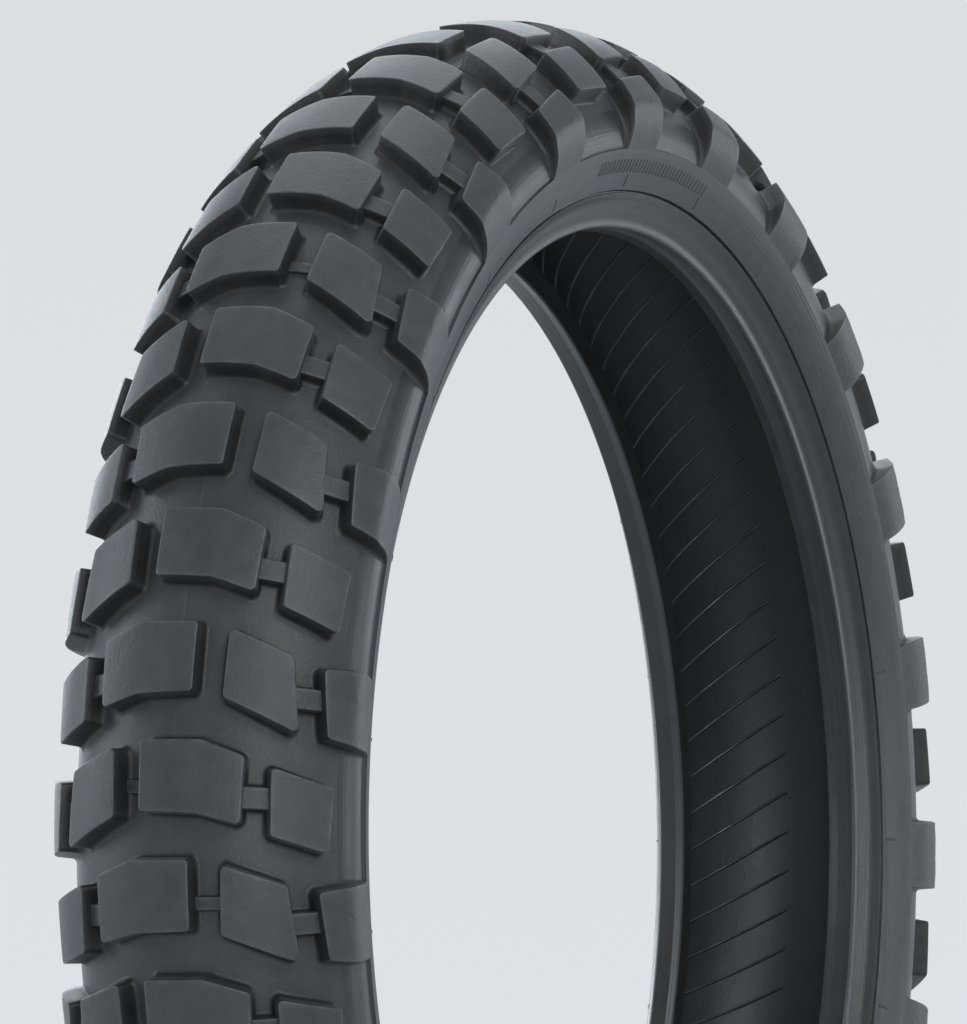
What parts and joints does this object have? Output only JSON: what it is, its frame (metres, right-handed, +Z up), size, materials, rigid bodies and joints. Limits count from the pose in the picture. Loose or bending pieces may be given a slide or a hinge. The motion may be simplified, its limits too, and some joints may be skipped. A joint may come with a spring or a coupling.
{
  "type": "motorcycle tire",
  "caption": "Block-tread motorcycle tire with open shoulders, layered carcass, belts, wire beads and a ribbed inner liner, sized for a 19-inch rim.",
  "frame": {"origin": "wheel centre: on the axle line, in the middle plane of the tire", "axes": "+Y along the axle towards the tire's left side, +Z up, +X forwards"},
  "size_m": [0.65, 0.1234, 0.65],
  "materials": {
    "tread_compound": "vulcanised tread rubber, dull with a faint grey bloom",
    "sidewall_compound": "smooth moulded sidewall rubber, slightly satin",
    "bead_compound": "hard abrasion-resistant bead rubber, satin",
    "liner_compound": "butyl liner with a dusty, dull cured face",
    "cushion_compound": "soft cushion rubber, dull",
    "filler_compound": "hard filler rubber, dull",
    "cord_fabric": "rubberised nylon cord",
    "belt_cord": "rubberised aramid cord",
    "cap_cord": "rubberised nylon cap cord",
    "chafer_fabric": "rubberised square-woven fabric",
    "wrap_fabric": "textile tape wound round the bead cable",
    "bead_wire": "drawn high-carbon steel wire with a thin bronze coat"
  },
  "bodies": {
    "root": {"bead_filler_left": "filler_compound", "bead_filler_right": "filler_compound", "bead_wires_left": "bead_wire", "bead_wires_right": "bead_wire", "bead_wrap_left": "wrap_fabric", "bead_wrap_right": "wrap_fabric", "belt_inner": "belt_cord", "belt_outer": "belt_cord", "cap_ply": "cap_cord", "carcass_ply_inner": "cord_fabric", "carcass_ply_outer": "cord_fabric", "centre_blocks_left": "tread_compound", "centre_blocks_right": "tread_compound", "centre_ties_left": "tread_compound", "centre_ties_right": "tread_compound", "chafer_left": "chafer_fabric", "chafer_right": "chafer_fabric", "inner_liner": "liner_compound", "middle_blocks_left": "tread_compound", "middle_blocks_right": "tread_compound", "outer_blocks_left": "tread_compound", "outer_blocks_right": "tread_compound", "rim_strip_left": "bead_compound", "rim_strip_right": "bead_compound", "shoulder_blocks_left": "tread_compound", "shoulder_blocks_right": "tread_compound", "shoulder_ties_left": "tread_compound", "shoulder_ties_right": "tread_compound", "shoulder_wedge_left": "cushion_compound", "shoulder_wedge_right": "cushion_compound", "sidewall_left": "sidewall_compound", "sidewall_right": "sidewall_compound", "toe_strip_left": "bead_compound", "toe_strip_right": "bead_compound", "tread_base_centre": "tread_compound", "tread_base_left": "tread_compound", "tread_base_right": "tread_compound", "wear_bars": "tread_compound"}
  },
  "joints": []
}
